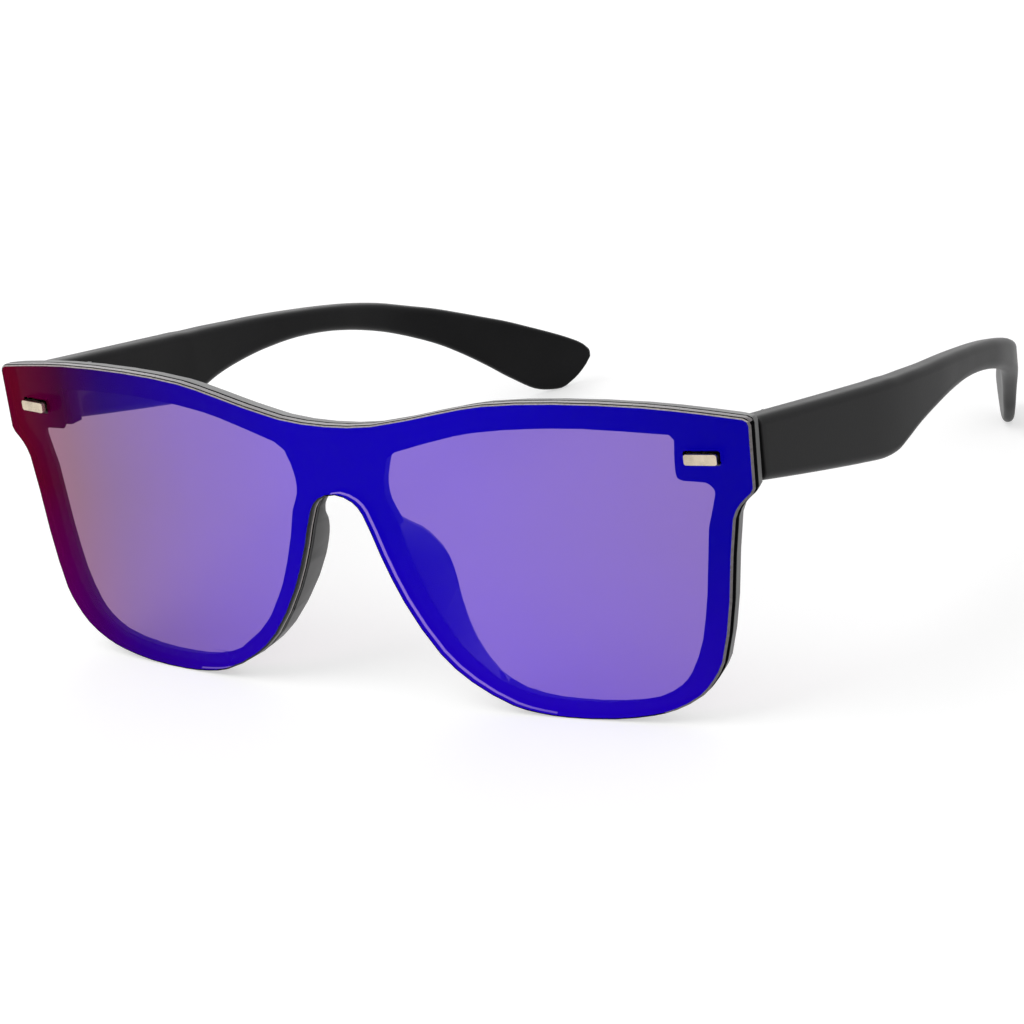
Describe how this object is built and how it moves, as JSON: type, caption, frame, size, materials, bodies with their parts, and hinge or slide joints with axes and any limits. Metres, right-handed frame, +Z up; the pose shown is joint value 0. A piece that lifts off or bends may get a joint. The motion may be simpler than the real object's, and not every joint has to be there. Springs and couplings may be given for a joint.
{
  "type": "horn-rimmed sunglasses",
  "caption": "Horn-rimmed sunglasses: one-piece mirrored lens over a moulded frame with nose pads, and arms folding on knuckled hinges.",
  "frame": {"origin": "centre of the bounding box's bottom face: the table under the open glasses, midway between the arms and midway between the front of the lens and the ear tips", "axes": "+Z up from the table the open glasses stand on, -Y out of the front of the lens, +X to the wearer's left"},
  "size_m": [0.1482, 0.1492, 0.0524],
  "materials": {
    "frame": "satin black moulded plastic",
    "temple": "matte black moulded plastic",
    "lens": "tinted polycarbonate with a blue to violet mirror coating",
    "plaque": "satin champagne metal",
    "hinge": "black-coated steel",
    "screw": "bright steel"
  },
  "bodies": {
    "front": {"front_frame": "frame", "shield_lens": "lens", "plaque_left": "plaque", "plaque_right": "plaque", "hinge_front_leaf_left": "hinge", "hinge_front_leaf_right": "hinge", "hinge_screw_left": "screw", "hinge_screw_right": "screw", "front_leaf_screw_left_upper": "screw", "front_leaf_screw_left_lower": "screw", "front_leaf_screw_right_upper": "screw", "front_leaf_screw_right_lower": "screw"},
    "left_arm": {"temple_left": "temple", "hinge_temple_leaf_left": "hinge", "temple_leaf_screw_left_front": "screw", "temple_leaf_screw_left_rear": "screw"},
    "right_arm": {"temple_right": "temple", "hinge_temple_leaf_right": "hinge", "temple_leaf_screw_right_front": "screw", "temple_leaf_screw_right_rear": "screw"}
  },
  "joints": [
    {"name": "left_arm_fold", "type": "hinge", "parent": "front", "child": "left_arm", "pos_m": [0.0657, -0.06095, 0.04372], "axis": [0, 0.026, 0.9997], "range_deg": [0, 82.5]},
    {"name": "right_arm_fold", "type": "hinge", "parent": "front", "child": "right_arm", "pos_m": [-0.0657, -0.06095, 0.04372], "axis": [0, -0.026, -0.9997], "range_deg": [0, 71]}
  ]
}
